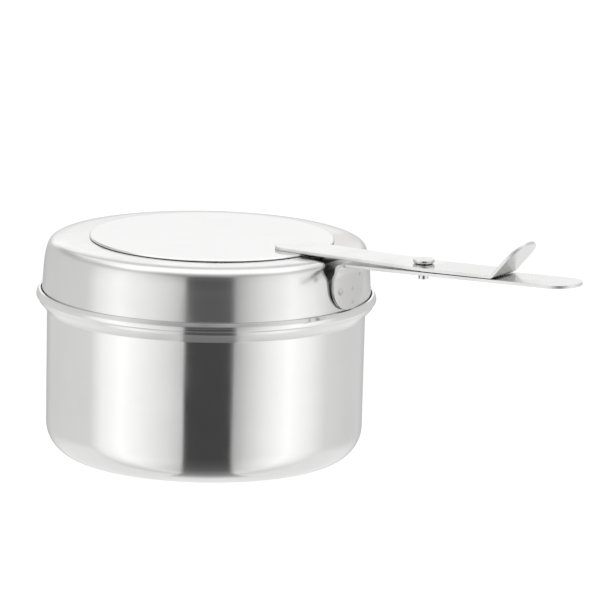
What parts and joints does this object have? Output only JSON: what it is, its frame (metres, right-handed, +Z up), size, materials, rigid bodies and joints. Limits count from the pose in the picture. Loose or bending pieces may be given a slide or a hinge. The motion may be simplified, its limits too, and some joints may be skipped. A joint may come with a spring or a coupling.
{
  "type": "chafing dish fuel holder",
  "caption": "Round steel fuel cup with a flared mouth, a lift-off lid with a strip handle, and a swinging damper disc on a riveted lever.",
  "frame": {"origin": "centre of the cup's base, on the surface that it stands on", "axes": "+Z up along the cup's axis, +X along the handle"},
  "size_m": [0.1699, 0.0972, 0.0747],
  "materials": {
    "drawn_steel": "satin polish, drawn sheet",
    "strip_steel": "bright rolled strip",
    "rivet_steel": "turned and peened",
    "weld_steel": "spot weld mark"
  },
  "bodies": {
    "holder": {"cup": "drawn_steel"},
    "cover": {"lid": "drawn_steel", "handle_bar": "strip_steel", "tongue_welds": "weld_steel", "pivot_rivet": "rivet_steel"},
    "damper": {"damper_disc": "drawn_steel", "damper_lever": "strip_steel", "disc_welds": "weld_steel"}
  },
  "joints": [
    {"name": "cover_lift", "type": "slide", "parent": "holder", "child": "cover", "axis": [0, 0, 1], "range_m": [0, 0.06]},
    {"name": "damper_swing", "type": "hinge", "parent": "cover", "child": "damper", "pos_m": [0.07147, 0, 0.064], "axis": [0, 0, 1], "range_deg": [-90, 90]}
  ]
}
